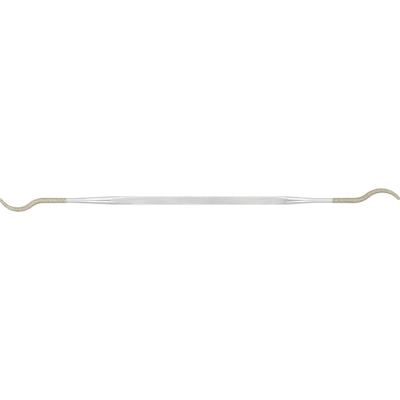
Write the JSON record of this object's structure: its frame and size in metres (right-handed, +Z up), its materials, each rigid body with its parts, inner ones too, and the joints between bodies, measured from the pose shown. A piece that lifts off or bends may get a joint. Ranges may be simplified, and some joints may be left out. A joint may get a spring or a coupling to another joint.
{
  "type": "diamond riffler file",
  "caption": "Slim steel riffler: a square grip tapers through round necks into hooked rat-tail ends plated with diamond grit, for filing inside curves and holes.",
  "frame": {"origin": "middle of the grip's underside, halfway between the two tips", "axes": "+X along the tool towards the right hook's tip, +Y the way the right hook rises, +Z up from the surface that the grip lies on"},
  "size_m": [0.15, 0.0086, 0.003],
  "materials": {
    "steel": "satin",
    "nickel": "satin",
    "diamond": "satin"
  },
  "bodies": {
    "root": {"steel_blank": "steel", "left_nickel_bond": "nickel", "left_diamond_grit": "diamond", "right_nickel_bond": "nickel", "right_diamond_grit": "diamond"}
  },
  "joints": []
}
